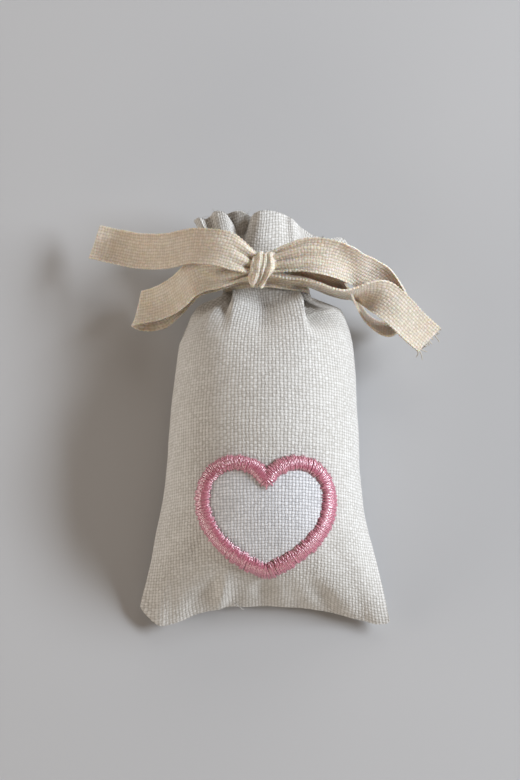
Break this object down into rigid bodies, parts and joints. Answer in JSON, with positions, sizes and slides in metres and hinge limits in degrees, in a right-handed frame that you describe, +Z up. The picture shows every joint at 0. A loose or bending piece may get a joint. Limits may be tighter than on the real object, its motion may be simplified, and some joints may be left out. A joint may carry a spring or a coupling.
{
  "type": "lavender sachet",
  "caption": "Small stuffed cloth bag that scents drawers and wardrobes; its gathered neck is tied with a tape bow and a stitched heart sits on the front.",
  "frame": {"origin": "middle of the flat resting face under the bag's back", "axes": "+X to the bag's right as seen from above its front, +Y from the base to the tied mouth, +Z up out of the front; metres"},
  "size_m": [0.1055, 0.1219, 0.036],
  "materials": {
    "linen": "coarse plain weave, off-white, matt",
    "tape": "woven cotton tape, cream, matt",
    "patch": "plain weave, cool white, matt",
    "satin": "embroidery thread, pink, satin sheen",
    "thread": "cotton sewing thread, off-white",
    "backing": "non-woven embroidery backing, white",
    "lavender": "loose dried lavender buds, grey-violet"
  },
  "bodies": {
    "bag": {"front_panel": "linen", "back_panel": "linen", "left_seam_thread": "thread", "right_seam_thread": "thread", "base_seam_thread": "thread", "lavender_filling": "lavender", "heart_patch": "patch", "heart_backing": "backing", "heart_satin_border": "satin", "tape_neck_wrap": "tape", "tape_knot": "tape"},
    "left_loop": {"tape_left_loop": "tape"},
    "left_tail": {"tape_left_tail": "tape"},
    "right_loop": {"tape_right_loop": "tape"},
    "right_tail": {"tape_right_tail": "tape"}
  },
  "joints": [
    {"name": "left_loop_lift", "type": "hinge", "parent": "bag", "child": "left_loop", "pos_m": [-0.005, 0.043, 0.0297], "axis": [-0.29, 0.957, 0], "range_deg": [0, 40]},
    {"name": "left_tail_lift", "type": "hinge", "parent": "left_loop", "child": "left_tail", "pos_m": [-0.0052, 0.0457, 0.0315], "axis": [0.22, 0.9755, 0], "range_deg": [0, 45]},
    {"name": "right_loop_lift", "type": "hinge", "parent": "bag", "child": "right_loop", "pos_m": [0.005, 0.0453, 0.0318], "axis": [-0.17, -0.9854, 0], "range_deg": [0, 40]},
    {"name": "right_tail_lift", "type": "hinge", "parent": "right_loop", "child": "right_tail", "pos_m": [0.005, 0.0411, 0.0293], "axis": [-0.4274, -0.7838, -0.4505], "range_deg": [0, 45]}
  ]
}
